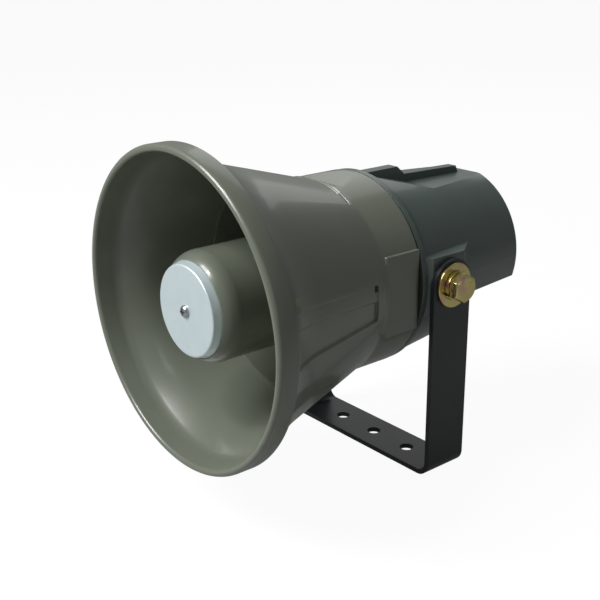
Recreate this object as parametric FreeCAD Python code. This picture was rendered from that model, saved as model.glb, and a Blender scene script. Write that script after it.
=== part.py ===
"""A re-entrant horn loudspeaker on a U-shaped steel bracket.

Lengths are millimetres. The horn's axis lies along Y with the mouth towards -Y, and the two
pivot bolts lie along X. The origin is on the underside of the bracket's base, at its middle
hole, straight below the pivot. Places along the horn are given as a depth behind the mouth.
"""

import FreeCAD, Part
import math
import os

Vector = FreeCAD.Vector

# Overall layout
pivot_height = 100.0
running_gap = 0.06
seat_gap = 0.15
screw_gap = 0.05
moulding_gap = 0.25
past = 1.0

# Bell, the grey outer moulding
mouth_radius = 75.0
lip_edge = 3.6
lip_round = 1.9
lip_depth = 10.0
lip_step = 0.6
lip_inner_depth = 12.0
lip_inner_drop = 5.4
flare_depth = 32.0
flare_drop = 11.6
flare_bulge = 1.15
inner_flare_bulge = 0.8
bell_wall = 2.4
collar_depth = 80.0
collar_end = 105.5
collar_radius = 49.2
collar_wall = 3.6
cone_over_collar = 0.5
collar_flat = 46.6
collar_flat_start = 84.5
collar_flat_half_height = 19.3
collar_rib = 2.0
collar_rib_sink = 4.0
collar_rib_angles = (-165, -135, -105, -75, -45, -15, 22, 60, 90, 120, 158)
bulkhead_sink = 4.5
bulkhead_thickness = 3.5

# Channels in the bell's top and sides, and the ramp up to the collar
channel_sink = 1.4
channel_start = 12.5
top_channel_half_angle = 32.5
top_floor_half_angle = 23.0
ramp_foot_depth = 85.0
ramp_top_depth = 103.0
side_channel_end = 76.0
side_top_front = 15.7
side_top_rear = 9.4
side_step_front = 9.3
side_step_rear = 1.7
side_bottom_front = -6.8
side_bottom_rear = -7.4
drain_slot_height = 2.8
drain_slot_width = 2.0
drain_slot_sink = 2.0

# Bowl, tube and reflector, the folded passage inside the bell
bowl_rim_depth = 57.6
bowl_wall = 2.0
bowl_corner = 13.0
bowl_hub_radius = 15.5
bowl_hub_depth = 82.0
hub_rim = 3.0
hub_hollow = 2.2
hub_foot_gap = 2.0
tube_spigot_radius = 11.5
tube_shoulder_radius = 13.2
tube_front_depth = 29.0
tube_front_bore = 10.8
throat_radius = 7.6
spider_hub_radius = 3.6
spider_hub_length = 12.0
spider_vane = 1.6
spider_vane_inset = 1.0
spider_vanes = 3
disc_depth = 6.0
disc_height = 4.0
disc_front_radius = 21.5
disc_back_radius = 22.4
disc_sheet = 1.0
disc_edge_round = 0.9
cap_radius = 26.2
cap_front_radius = 23.2
cap_full_depth = 19.0
cap_shoulder_bulge = 1.0
cap_skirt_depth = 47.0
cap_flare_bulge = 0.6
cap_rim_radius = 29.5
cap_rim_passage = 13.0
cap_wall = 2.2
deflector_foot_radius = 15.0
deflector_hollow = 2.4

# Rear cover, the dark moulding, and its gasket
gasket_thickness = 0.8
gasket_sink = 0.9
cover_front_ring = 3.0
cover_ring_drop = 0.2
cover_ring_lip = 0.7
cover_end_round = 0.8
cover_wall = 2.5
spigot_length = 4.0
spigot_wall = 1.8
shelf_height = -12.0
land_start_gap = 0.7
land_start_height = 46.8
land_slope_length = 29.0
land_height = 39.0
land_end_height = 38.2
front_fin_half_width = 3.2
front_fin_height = 47.6
front_fin_length = 23.7
rear_fin_half_width = 2.6
rear_fin_start_height = 43.2
rear_fin_end_height = 41.8
rear_fin_end_gap = 8.3
fin_slope = 5.0
fin_root = 2.0
pivot_setback = 13.7
boss_lap = 0.3
boss_length_behind_pivot = 10.0
boss_ramp = 14.0
boss_top = 14.4
boss_root_top = 15.0
boss_height = 9.8
boss_root = 8.0
boss_corner = 3.0
boss_skin = 5.8
inner_boss_radius = 10.5

# Bracket and pivot hardware
strip_width = 25.0
strip_thickness = 2.5
arm_gap = 0.6
bend_radius = 7.5
base_hole_radius = 3.5
base_hole_pitch = 25.0
bolt_radius = 4.0
bolt_length = 18.5
head_flats = 13.0
head_height = 5.3
head_chamfer = 0.8
plain_washer_radius = 11.0
plain_washer_thickness = 1.6
spring_washer_radius = 7.3
spring_washer_thickness = 2.0
spring_washer_slit = 1.6
spring_washer_turn = 200
nut_height = 6.5
nut_pocket_room = 0.5

# Driver
driver_flange_margin = 4.5
driver_flange_thickness = 3.0
driver_length_to_clamp = 11.3
compression_gap = 0.9
plug_radius = 5.6
plug_swell = 1.0
plug_front_gap = 0.5
plug_arm = 1.6
plug_arm_length = 2.0
plug_arms = 3
dome_radius = 12.6
dome_rise = 4.0
dome_sheet = 0.4
dome_lip = 1.6
dome_lip_lap = 1.2
surround_gap = 0.3
surround_outer_radius = 21.0
surround_sheet = 0.4
clamp_inner_radius = 18.5
clamp_thickness = 2.4
coil_wall = 0.6
coil_length = 7.0
coil_air_gap = 0.5
top_plate_thickness = 5.0
magnet_bore_radius = 16.5
magnet_thickness = 11.0
back_plate_thickness = 4.2

# Screws
screw_radius = 2.0
screw_head_radius = 3.6
screw_head_height = 2.6
screw_circle = 34.5
cover_post_radius = 4.6
cover_post_length = 4.5
tunnel_wall = 1.5
tunnel_floor = 3.0
tunnel_clearance = 0.75
tunnel_margin = 5.8
cover_screw_length = 10.0
driver_screw_length = 6.0
disc_screw_radius = 1.5
disc_screw_head_radius = 2.9
disc_screw_head_height = 1.9
disc_screw_head_edge = 0.6
disc_screw_crown = 1.3
disc_screw_swell = 0.25
recess_width = 0.9
recess_sink = 1.1
recess_share = 0.6

# Line transformer, terminals and cable gland
driver_room = 14.7
transformer_room = 2.3
core_side_gap = 1.15
core_height = 34.0
core_stack = 16.0
core_leg = 7.0
coil_overhang = 5.5
coil_clearance = 0.4
bobbin_round = 1.5
block_room = 11.2
block_width = 9.0
block_length = 21.0
block_height = 10.0
block_offset = 28.5
block_wells = 3
well_radius = 2.2
well_depth = 4.5
wire_hole_half_width = 1.4
wire_hole_floor = 2.0
wire_hole_top = 4.5
well_screw_height = 2.0
well_slot_half_width = 0.35
well_slot_sink = 0.8
gland_height = -27.0
gland_thread_radius = 6.2
gland_neck_step = 0.6
gland_flats = 15.0
gland_collar = 5.0
gland_cap_length = 9.0
gland_cap_wall = 2.0
gland_cap_dome = 3.5
gland_cap_face = 1.4
gland_cap_swell = 0.8
gland_bore_radius = 2.6
locknut_thickness = 2.8
locknut_flats = 15.5
locknut_room = 0.9

# Where the bell's pieces lie, as depths behind the mouth and distances from its axis
flare_radius = mouth_radius - flare_drop
lip_inner_radius = mouth_radius - lip_inner_drop
cone_radius_at_collar = collar_radius + cone_over_collar
cone_slope = (cone_radius_at_collar - flare_radius) / (collar_depth - flare_depth)
collar_hollow_radius = collar_radius - collar_wall
bulkhead_depth = collar_end - bulkhead_sink
bulkhead_rear = bulkhead_depth + bulkhead_thickness
bowl_floor = bulkhead_depth - bowl_wall
cap_front_depth = disc_depth + disc_height
cap_inner_front = cap_front_depth + cap_wall
cap_rim_depth = bowl_floor - cap_rim_passage

# Where the driver's pieces lie
clamp_depth = bulkhead_rear + driver_length_to_clamp
surround_rear = clamp_depth + surround_sheet
top_plate_front = surround_rear + clamp_thickness
top_plate_rear = top_plate_front + top_plate_thickness
magnet_rear = top_plate_rear + magnet_thickness
back_plate_rear = magnet_rear + back_plate_thickness
tunnel_radius = screw_head_radius + seat_gap + tunnel_wall
driver_flange_radius = screw_circle + driver_flange_margin
driver_body_radius = screw_circle - tunnel_radius - tunnel_clearance

# Where the cover's walls lie round what it holds
cover_front = collar_end + gasket_thickness
cover_ring_end = cover_front + cover_front_ring
tunnel_front = bulkhead_rear + cover_post_length + moulding_gap
tunnel_seat = tunnel_front + tunnel_floor
shelf_floor = shelf_height + cover_wall
shelf_start = back_plate_rear + locknut_room + locknut_thickness + cover_wall
block_depth = back_plate_rear + block_room
core_depth = back_plate_rear + driver_room + coil_overhang
core_width = 2 * (screw_circle * math.sqrt(0.5) - tunnel_radius - core_side_gap)
cover_end_depth = core_depth + core_stack + coil_overhang + transformer_room + cover_wall
cover_ring_radius = collar_radius - cover_ring_drop
cover_front_radius = cover_ring_radius - cover_ring_lip
cover_end_radius = screw_circle + tunnel_margin
land_start = cover_ring_end + land_start_gap
land_level_from = land_start + land_slope_length
front_fin_end = cover_ring_end + front_fin_length
rear_fin_end = cover_end_depth - rear_fin_end_gap

# Where the pivot and the bracket lie
pivot_depth = cover_ring_end + pivot_setback
arm_inner = collar_radius + arm_gap
arm_outer = arm_inner + strip_thickness
boss_start = cover_ring_end - boss_lap
boss_end = pivot_depth + boss_length_behind_pivot
boss_ramp_end = boss_end + boss_ramp
boss_root_half_width = arm_inner - boss_height
nut_seat = arm_inner - boss_skin
inner_boss_face = nut_seat - nut_height - nut_pocket_room

# Patterns about the horn's axis
CORNERS = (45, 135, 225, 315)
QUARTERS = (0, 90, 180, 270)
reach = 2 * mouth_radius


def cone_radius(depth):
    """Outer radius of the bell's straight cone at a depth behind the mouth."""
    return flare_radius + cone_slope * (depth - flare_depth)


def cover_radius(depth):
    """Outer radius of the rear cover, which narrows for the mould."""
    share = (depth - cover_front) / (cover_end_depth - cover_front)
    return cover_front_radius + (cover_end_radius - cover_front_radius) * share


def at(depth, radius):
    return Vector(radius, depth - pivot_depth, 0)


def between(start, end, bulge):
    """A point beside the middle of a chord, so that three points set an arc."""
    ds, dr = end[0] - start[0], end[1] - start[1]
    length = math.hypot(ds, dr)
    return ((start[0] + end[0]) / 2 + bulge * dr / length, (start[1] + end[1]) / 2 - bulge * ds / length)


def turned(*steps):
    """A solid turned about the horn's axis. A step is a point, or an arc's middle and end."""
    edges = []
    here = steps[0]
    for step in steps[1:] + (steps[0],):
        if isinstance(step[0], tuple):
            middle, end = step
            edges.append(Part.Arc(at(*here), at(*middle), at(*end)).toShape())
        else:
            end = step
            edges.append(Part.makeLine(at(*here), at(*end)))
        here = end
    face = Part.Face(Part.Wire(edges))
    return face.revolve(Vector(0, 0, 0), Vector(0, 1, 0), 360)


def rod(start, end, radius, x=0.0, z=0.0):
    """A cylinder along the horn's axis."""
    return Part.makeCylinder(radius, end - start, Vector(x, start - pivot_depth, z), Vector(0, 1, 0))


def tube(start, end, outer, inner, x=0.0, z=0.0):
    return rod(start, end, outer, x, z).cut(rod(start, end, inner, x, z))


def cross_rod(start, end, radius):
    """A cylinder along the pivot axis, on the +X side."""
    return Part.makeCylinder(radius, end - start, Vector(start, 0, 0), Vector(1, 0, 0))


def block(x0, x1, depth0, depth1, z0, z1):
    corner = Vector(x0, depth0 - pivot_depth, z0)
    return Part.makeBox(x1 - x0, depth1 - depth0, z1 - z0, corner)


def prism(points, along):
    """A straight prism on a closed outline."""
    return Part.Face(Part.makePolygon(points + points[:1])).extrude(along)


def sector(middle, half_angle, start, end):
    """A wedge about the horn's axis, from one depth to another."""
    angles = [middle + half_angle * share for share in (-1, -0.5, 0, 0.5, 1)]
    y = start - pivot_depth
    rim = [Vector(reach * math.cos(math.radians(a)), y, reach * math.sin(math.radians(a))) for a in angles]
    return prism([Vector(0, y, 0)] + rim, Vector(0, end - start, 0))


def side_view(points, half_width=reach):
    """A prism across the horn, on an outline of depths and heights."""
    corners = [Vector(-half_width, depth - pivot_depth, z) for depth, z in points]
    return prism(corners, Vector(2 * half_width, 0, 0))


def about_axis(shape, angle):
    """The same shape, turned about the horn's axis."""
    shape.rotate(Vector(0, 0, 0), Vector(0, 1, 0), -angle)
    return shape


def hexagon(flats, thickness, base, axis):
    """A hexagonal bar. A corner points up when its axis is level."""
    side = flats / math.sqrt(3)
    across = Vector(0, 1, 0) if abs(axis.x) > 0.5 else Vector(1, 0, 0)
    up = Vector(0, 0, 1)
    corners = []
    for k in range(6):
        a = math.radians(30 + 60 * k)
        corners.append(base + across * (side * math.cos(a)) + up * (side * math.sin(a)))
    return prism(corners, axis * thickness)


def mirrored(shape):
    return shape.mirror(Vector(0, 0, 0), Vector(1, 0, 0))


def pair(shape):
    """The same piece on both sides of the horn."""
    return Part.makeCompound([shape, mirrored(shape)])


def on_circle(angle, radius=screw_circle):
    a = math.radians(angle)
    return radius * math.cos(a), radius * math.sin(a)


def tidy(shape):
    """One clean solid with its seams merged."""
    return shape.removeSplitter()


# Bell
def cone_body(sink):
    """The bell's flared cone without its lip, filled solid and drawn in by sink."""
    start = (lip_depth, mouth_radius - lip_step - sink)
    end = (flare_depth, flare_radius - sink)
    rear = (bulkhead_rear, cone_radius(bulkhead_rear) - sink)
    return turned((lip_depth, 0), start, (between(start, end, flare_bulge), end), rear, (bulkhead_rear, 0))


def bell_inside():
    """The open space in the bell, from the mouth to the bulkhead."""
    e = lip_edge - lip_round
    nose = (0, mouth_radius - lip_round)
    edge = (e, mouth_radius - lip_edge)
    inner = (lip_inner_depth, lip_inner_radius)
    end = (flare_depth, flare_radius - bell_wall)
    rear = (bulkhead_depth, cone_radius(bulkhead_depth) - bell_wall)
    corner = e * (1 - math.sqrt(0.5))
    nose_arc = ((corner, mouth_radius - lip_edge + corner), edge)
    flare_arc = (between(inner, end, inner_flare_bulge), end)
    return turned((0, 0), nose, nose_arc, inner, flare_arc, rear, (rear[0], 0))


def lip():
    """The rolled edge round the mouth, with a fine step behind it."""
    r = mouth_radius
    e = lip_round
    corner = e * (1 - math.sqrt(0.5))
    return turned(
        (0, 0),
        (0, r - e),
        ((corner, r - corner), (e, r)),
        (lip_depth, r),
        (lip_depth, 0),
    )


def around_cone(start, end, sink):
    """What lies outside the cone once it is drawn in by sink."""
    return rod(start, end, mouth_radius).cut(cone_body(sink))


def top_channels():
    """The wide channel along the bell's top, with a deeper floor along its middle."""
    wide = sector(90, top_channel_half_angle, channel_start, collar_depth)
    middle = sector(90, top_floor_half_angle, channel_start, collar_depth)
    return [
        around_cone(channel_start, collar_depth, channel_sink / 2).common(wide),
        around_cone(channel_start, collar_depth, channel_sink).common(middle),
    ]


def collar_ramp():
    """What is cut off the collar's top, so that it rises evenly from the channel's floor."""
    foot = cone_radius(ramp_foot_depth) - channel_sink
    return side_view(
        [
            (collar_depth, cone_radius(collar_depth) - channel_sink),
            (ramp_foot_depth, foot),
            (ramp_top_depth, collar_radius),
            (ramp_top_depth, reach),
            (collar_depth, reach),
        ]
    )


def side_channels():
    """The channels along both sides: a floor with a step, and a drain slot at the rear end."""

    def strip(start, low, high, sink):
        end = side_channel_end
        outline = side_view([(start, low[0]), (end, low[1]), (end, high[1]), (start, high[0])])
        return around_cone(start, end, sink).common(outline)

    top = (side_top_front, side_top_rear)
    step = (side_step_front, side_step_rear)
    bottom = (side_bottom_front, side_bottom_rear)
    slot_top = (side_top_rear, side_top_rear)
    slot_bottom = (side_top_rear - drain_slot_height, side_top_rear - drain_slot_height)
    return [
        strip(channel_start, bottom, top, channel_sink / 2),
        strip(channel_start, bottom, step, channel_sink),
        strip(side_channel_end - drain_slot_width, slot_bottom, slot_top, drain_slot_sink),
    ]


def collar_hollow():
    """The ring-shaped hollow between the cone and the collar, open to the rear."""
    ring = rod(collar_depth, collar_end, collar_hollow_radius).cut(cone_body(0))
    for angle in collar_rib_angles:
        rib = block(0, reach, collar_depth, collar_end - collar_rib_sink, -collar_rib / 2, collar_rib / 2)
        ring = ring.cut(about_axis(rib, angle))
    return ring


def collar():
    """The drum that the rear cover butts against, cut flat on both sides with square corners."""
    half = collar_flat_half_height
    side = block(collar_flat, reach, collar_flat_start, collar_end, -half, half)
    drum = rod(collar_depth, collar_end, collar_radius).cut([side, mirrored(side)])
    corners = block(-collar_flat, collar_flat, collar_flat_start, collar_end, -half, half)
    return drum.fuse(corners)


def bell():
    body = cone_body(0).fuse([collar(), lip()])
    body = body.cut(top_channels() + [collar_ramp()] + side_channels())
    body = body.cut([bell_inside(), collar_hollow()])
    post_end = bulkhead_rear + cover_post_length
    posts = [rod(bulkhead_depth, post_end, cover_post_radius, *on_circle(angle)) for angle in CORNERS]
    body = body.fuse(posts)
    holes = [rod(bulkhead_depth - past, bulkhead_rear + past, tube_spigot_radius + seat_gap)]
    hole_start = bulkhead_depth + past / 2
    for angle in CORNERS + QUARTERS:
        holes.append(rod(hole_start, tunnel_front, screw_radius + screw_gap, *on_circle(angle)))
    return tidy(body.cut(holes))


# Folded passage
def bowl_outer_radius(depth):
    return cone_radius(depth) - bell_wall - moulding_gap


def wall_swell(wall_end, foot):
    """The bulge of an arc that carries on the bell's slope and then turns in to the foot."""
    run, rise = foot[0] - wall_end[0], foot[1] - wall_end[1]
    turn_in = math.atan(cone_slope) - math.atan2(rise, run)
    return math.hypot(run, rise) / 2 * math.tan(turn_in / 2)


def throat_bowl():
    """The round-bottomed bowl that turns the sound forward again."""
    rim = bowl_outer_radius(bowl_rim_depth)
    turn = bulkhead_depth - bowl_corner
    outer_wall = bowl_outer_radius(turn)
    inner_wall = outer_wall - bowl_wall
    corner_outer = (bulkhead_depth, outer_wall - bowl_corner)
    corner_inner = (bowl_floor, inner_wall - bowl_corner + bowl_wall / 2)
    hub_foot = (bowl_floor, corner_inner[1] - hub_foot_gap)
    hub_top = (bowl_hub_depth + hub_rim, bowl_hub_radius)
    outer_swell = wall_swell((turn, outer_wall), corner_outer)
    inner_swell = wall_swell((turn, inner_wall), corner_inner)
    bore = tube_spigot_radius + seat_gap
    return turned(
        (bowl_rim_depth, rim),
        (turn, outer_wall),
        (between((turn, outer_wall), corner_outer, -outer_swell), corner_outer),
        (bulkhead_depth, bore),
        (bowl_hub_depth, bore),
        (bowl_hub_depth, bowl_hub_radius),
        hub_top,
        (between(hub_top, hub_foot, -hub_hollow), hub_foot),
        corner_inner,
        (between(corner_inner, (turn, inner_wall), inner_swell), (turn, inner_wall)),
        (bowl_rim_depth, rim - bowl_wall),
    )


def tone_tube():
    """The central tube, which widens towards the reflector and ends in a spider with a hub."""
    front = tube_front_depth
    wall = turned(
        (front, tube_front_bore),
        (bulkhead_rear, throat_radius),
        (bulkhead_rear, tube_spigot_radius),
        (bowl_hub_depth, tube_spigot_radius),
        (bowl_hub_depth, tube_shoulder_radius),
        (front, tube_shoulder_radius),
    )
    hub_end = front + spider_hub_length
    hub = rod(front, hub_end, spider_hub_radius)
    vane_reach = (tube_front_bore + tube_shoulder_radius) / 2
    half = spider_vane / 2
    vanes = []
    for k in range(spider_vanes):
        vane = block(0, vane_reach, front + spider_vane_inset, hub_end - spider_vane_inset, -half, half)
        vanes.append(about_axis(vane, 270 + k * 360 / spider_vanes))
    body = wall.fuse([hub] + vanes)
    return tidy(body.cut(rod(front, hub_end, disc_screw_radius + screw_gap)))


def cap_shell(inset):
    """The reflector's outer form, drawn in by inset and filled solid."""
    front = (cap_front_depth + inset, cap_front_radius - inset)
    full = (cap_full_depth, cap_radius - inset)
    skirt = (cap_skirt_depth, cap_radius - inset)
    rim = (cap_rim_depth, cap_rim_radius - inset)
    return turned(
        (cap_front_depth + inset, 0),
        front,
        (between(front, full, -cap_shoulder_bulge), full),
        skirt,
        (between(skirt, rim, cap_flare_bulge), rim),
        (cap_rim_depth, 0),
    )


def deflector():
    """The hollow-sided cone inside the reflector, whose tip meets the tube's hub."""
    root = cap_inner_front - past
    foot = (cap_inner_front, deflector_foot_radius)
    tip = (tube_front_depth, spider_hub_radius)
    side = (between(foot, tip, deflector_hollow), tip)
    return turned((root, 0), (root, foot[1]), foot, side, (tip[0], 0))


def reflector_cap():
    """The cup in the mouth. Its hollow-sided cone turns the sound back round the tube."""
    shell = cap_shell(0).cut(cap_shell(cap_wall))
    land = rod(disc_depth + disc_sheet, cap_inner_front, disc_front_radius - disc_sheet - seat_gap)
    body = shell.fuse([deflector(), land])
    return tidy(body.cut(rod(disc_depth, tube_front_depth + past, disc_screw_radius + seat_gap)))


def front_disc():
    """The drawn aluminium disc that covers the nose of the reflector."""
    back = cap_front_depth
    r = disc_front_radius
    e = disc_edge_round
    inner = r - disc_sheet
    corner = e * (1 - math.sqrt(0.5))
    hole = disc_screw_radius + seat_gap
    return turned(
        (disc_depth, hole),
        (disc_depth, r - e),
        ((disc_depth + corner, r - corner), (disc_depth + e, r)),
        (back, disc_back_radius),
        (back, inner),
        (disc_depth + disc_sheet, inner),
        (disc_depth + disc_sheet, hole),
    )


def cross_recess(depth, x, z, size):
    """The cross-shaped recess of a screw whose head faces the given depth."""
    half = recess_width / 2
    upright = block(x - half, x + half, depth, depth + recess_sink, z - size, z + size)
    level = block(x - size, x + size, depth, depth + recess_sink, z - half, z + half)
    return upright.fuse(level)


def disc_screw():
    """The pan-head screw that holds disc, reflector and tube together."""
    top = disc_depth - disc_screw_head_height
    crown = (top, disc_screw_crown)
    rim = (disc_depth - disc_screw_head_edge, disc_screw_head_radius)
    dome = turned(
        (top, 0),
        crown,
        (between(crown, rim, -disc_screw_swell), rim),
        (disc_depth, disc_screw_head_radius),
        (disc_depth, 0),
    )
    shank = rod(disc_depth, tube_front_depth + spider_hub_length - past, disc_screw_radius)
    return tidy(dome.fuse(shank).cut(cross_recess(top, 0, 0, disc_screw_head_radius * recess_share)))


# Rear cover
def cover_outer():
    """The cover's outer form, filled solid: drum, front ring, shelf and sunken top."""
    e = cover_end_round
    body = turned(
        (cover_front, 0),
        (cover_front, cover_ring_radius),
        (cover_ring_end, cover_ring_radius),
        (cover_ring_end, cover_radius(cover_ring_end)),
        (cover_end_depth - e, cover_radius(cover_end_depth - e)),
        (cover_end_depth, cover_end_radius - e),
        (cover_end_depth, 0),
    )
    body = body.cut(block(-reach, reach, shelf_start, cover_end_depth + past, -reach, shelf_height))
    return body.cut(top_land(0))


def top_land(inset):
    """What is cut away above the sunken top, drawn in by inset for the inside."""
    start = land_start - inset
    end = cover_end_depth + past
    return side_view(
        [
            (start, land_start_height - inset),
            (land_level_from - inset, land_height - inset),
            (end, land_end_height - inset),
            (end, reach),
            (start, reach),
        ]
    )


def fins():
    """The two-step rib along the cover's top."""
    slope_end = front_fin_end + fin_slope
    root = land_end_height - fin_root
    front = [
        (cover_ring_end - past, root),
        (cover_ring_end - past, front_fin_height),
        (front_fin_end, front_fin_height),
        (slope_end, rear_fin_start_height),
        (slope_end, root),
    ]
    rear = [
        (front_fin_end, root),
        (front_fin_end, rear_fin_start_height),
        (rear_fin_end, rear_fin_end_height),
        (rear_fin_end + fin_slope / 2, root),
    ]
    return [side_view(front, front_fin_half_width), side_view(rear, rear_fin_half_width)]


def side_boss():
    """The flat-faced boss that the bracket's arm bears on, with a ramp behind it."""
    root = boss_root_half_width - boss_root
    outline = [
        (root, -boss_root_top),
        (boss_root_half_width, -boss_root_top),
        (arm_inner, -boss_top),
        (arm_inner, boss_top),
        (boss_root_half_width, boss_root_top),
        (root, boss_root_top),
    ]
    length = boss_ramp_end - boss_start
    body = prism([Vector(x, boss_start - pivot_depth, z) for x, z in outline], Vector(0, length, 0))
    ramp = [
        (arm_inner + past, boss_end),
        (arm_inner, boss_end),
        (boss_root_half_width, boss_ramp_end),
        (boss_root_half_width, boss_ramp_end + past),
        (arm_inner + past, boss_ramp_end + past),
    ]
    front = [
        (arm_inner - boss_corner, boss_start - past),
        (arm_inner - boss_corner, boss_start),
        (arm_inner, boss_start + boss_corner),
        (arm_inner + past, boss_start + boss_corner),
        (arm_inner + past, boss_start - past),
    ]
    for cut in (ramp, front):
        corners = [Vector(x, depth - pivot_depth, -reach) for x, depth in cut]
        body = body.cut(prism(corners, Vector(0, 0, 2 * reach)))
    return body


def cover_inside():
    """The space in the cover: a drum, with a floor over the shelf and a ceiling under the land."""
    end = cover_end_depth - cover_wall
    drum = turned(
        (cover_ring_end, 0),
        (cover_ring_end, cover_radius(cover_ring_end) - cover_wall),
        (end, cover_radius(end) - cover_wall),
        (end, 0),
    )
    drum = drum.cut(block(-reach, reach, shelf_start - cover_wall, end + past, -reach, shelf_floor))
    return drum.cut(top_land(cover_wall))


def tunnel_end(angle):
    """A screw tunnel opens in the rear wall above the shelf, and in the step below it."""
    return cover_end_depth if on_circle(angle)[1] > shelf_height else shelf_start


def screw_tunnels():
    """The four tunnels that hold the cover's screws, and what is bored out of them."""
    walls = []
    bores = []
    for angle in CORNERS:
        place = on_circle(angle)
        walls.append(rod(tunnel_front, tunnel_end(angle) - past, tunnel_radius, *place))
        bores.append(rod(tunnel_seat, tunnel_end(angle) + past, screw_head_radius + seat_gap, *place))
        bores.append(rod(tunnel_front - past, tunnel_seat + past, screw_radius + screw_gap, *place))
    return walls, bores


def nut_pocket():
    """The hexagonal pocket for the captive nut and the bolt's hole, on the +X side."""
    start = inner_boss_face - past
    pocket = hexagon(head_flats + 2 * seat_gap, nut_seat - start, Vector(start, 0, 0), Vector(1, 0, 0))
    return pocket.fuse(cross_rod(start, arm_inner + past, bolt_radius + seat_gap))


def rear_cover():
    spigot_radius = collar_hollow_radius - moulding_gap
    inner_radius = spigot_radius - spigot_wall
    inner_boss = cross_rod(inner_boss_face, arm_inner - cover_wall, inner_boss_radius)
    walls, bores = screw_tunnels()
    body = cover_outer().fuse(fins() + [side_boss(), mirrored(side_boss())])
    body = body.cut([cover_inside(), rod(cover_front, cover_ring_end, inner_radius)])
    body = body.fuse([tube(cover_front - spigot_length, cover_front, spigot_radius, inner_radius)])
    body = body.fuse([inner_boss, mirrored(inner_boss)] + walls)
    gland_hole = rod(
        shelf_start - cover_wall - past, shelf_start + past, gland_thread_radius + seat_gap, 0, gland_height
    )
    return tidy(body.cut(bores + [nut_pocket(), mirrored(nut_pocket()), gland_hole]))


def cover_gasket():
    outer = collar_radius - gasket_sink
    return tube(collar_end, cover_front, outer, collar_hollow_radius + moulding_gap)


# Screws that lie along the horn
def machine_screw(seat, length, x, z):
    """A pan-head screw with its head behind the seat and its shank forward of it."""
    head = rod(seat, seat + screw_head_height, screw_head_radius, x, z)
    shank = rod(seat - length, seat, screw_radius, x, z)
    recess = cross_recess(seat + screw_head_height - recess_sink, x, z, screw_head_radius * recess_share)
    return tidy(head.fuse(shank).cut(recess))


def cover_screws():
    return Part.makeCompound(
        [machine_screw(tunnel_seat, cover_screw_length, *on_circle(angle)) for angle in CORNERS]
    )


def driver_screws():
    seat = bulkhead_rear + driver_flange_thickness
    return Part.makeCompound(
        [machine_screw(seat, driver_screw_length, *on_circle(angle)) for angle in QUARTERS]
    )


# Driver
def dome_profile(offset):
    """The dome as a ball's cap. Its edge lies at the clamp and its crown points forward."""
    ball = (dome_radius ** 2 + dome_rise ** 2) / (2 * dome_rise)
    centre = clamp_depth - dome_rise + ball
    return Part.makeSphere(ball + offset, Vector(0, centre - pivot_depth, 0))


def driver_throat():
    """The cast front of the driver: flange, throat and the chamber over the dome."""
    flange_rear = bulkhead_rear + driver_flange_thickness
    flange = rod(bulkhead_rear, flange_rear, driver_flange_radius)
    body = flange.fuse(rod(bulkhead_rear, clamp_depth, driver_body_radius))
    chamber = dome_profile(compression_gap).common(rod(bulkhead_rear, clamp_depth, dome_radius + past))
    lip_room = rod(clamp_depth - compression_gap, clamp_depth, clamp_inner_radius)
    cuts = [chamber, lip_room, rod(bulkhead_rear - past, clamp_depth, throat_radius)]
    for angles, radius in ((CORNERS, cover_post_radius), (QUARTERS, screw_radius)):
        for angle in angles:
            cuts.append(rod(bulkhead_rear - past, flange_rear + past, radius + seat_gap, *on_circle(angle)))
    return tidy(body.cut(cuts))


def phase_plug():
    """The small bullet in the throat, on three arms that press against the bore."""
    rear = clamp_depth - dome_rise - compression_gap
    front = bulkhead_rear + plug_front_gap
    side = (rear, plug_radius)
    bullet = turned((front, 0), (between((front, 0), side, -plug_swell), side), (rear, 0))
    bore = throat_radius - screw_gap
    arms = []
    for k in range(plug_arms):
        arm = block(0, bore, rear - plug_arm_length, rear, -plug_arm / 2, plug_arm / 2)
        arms.append(about_axis(arm, k * 360 / plug_arms - 30))
    body = bullet.fuse(arms).common(rod(front - past, rear, bore))
    return tidy(body.cut(dome_profile(compression_gap)))


def diaphragm():
    """The domed sheet with a flat lip, which the coil hangs from."""
    room = rod(clamp_depth - dome_rise - past, clamp_depth, reach)
    cap = dome_profile(0).cut(dome_profile(-dome_sheet)).common(room)
    lip_start = clamp_depth - dome_sheet
    return tidy(cap.fuse(tube(lip_start, clamp_depth, dome_radius + dome_lip, dome_radius - dome_lip_lap)))


def voice_coil():
    half = coil_wall / 2
    return tube(clamp_depth, clamp_depth + coil_length, dome_radius + half, dome_radius - half)


def surround():
    """The thin ring that is clamped at its edge, just clear of the diaphragm's lip."""
    return tube(clamp_depth, surround_rear, surround_outer_radius, dome_radius + dome_lip + surround_gap)


def clamp_ring():
    ring = tube(surround_rear, top_plate_front, driver_body_radius, clamp_inner_radius)
    rim = tube(clamp_depth, surround_rear, driver_body_radius, surround_outer_radius + seat_gap)
    return tidy(ring.fuse(rim))


def top_plate():
    bore = dome_radius + coil_wall / 2 + coil_air_gap
    return tube(top_plate_front, top_plate_rear, driver_body_radius, bore)


def magnet():
    return tube(top_plate_rear, magnet_rear, driver_body_radius, magnet_bore_radius)


def pole_plate():
    plate = rod(magnet_rear, back_plate_rear, driver_body_radius)
    pole = rod(top_plate_front, magnet_rear, dome_radius - coil_wall / 2 - coil_air_gap)
    return tidy(plate.fuse(pole))


# Line transformer, terminals and cable gland
def transformer_core():
    """The laminated core: an outer frame and a middle leg, standing on the floor over the shelf."""
    half = core_width / 2
    rear = core_depth + core_stack
    top = shelf_floor + core_height
    frame = block(-half, half, core_depth, rear, shelf_floor, top)
    window = block(core_leg, half - core_leg, core_depth, rear, shelf_floor + core_leg, top - core_leg)
    return tidy(frame.cut([window, mirrored(window)]))


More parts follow.
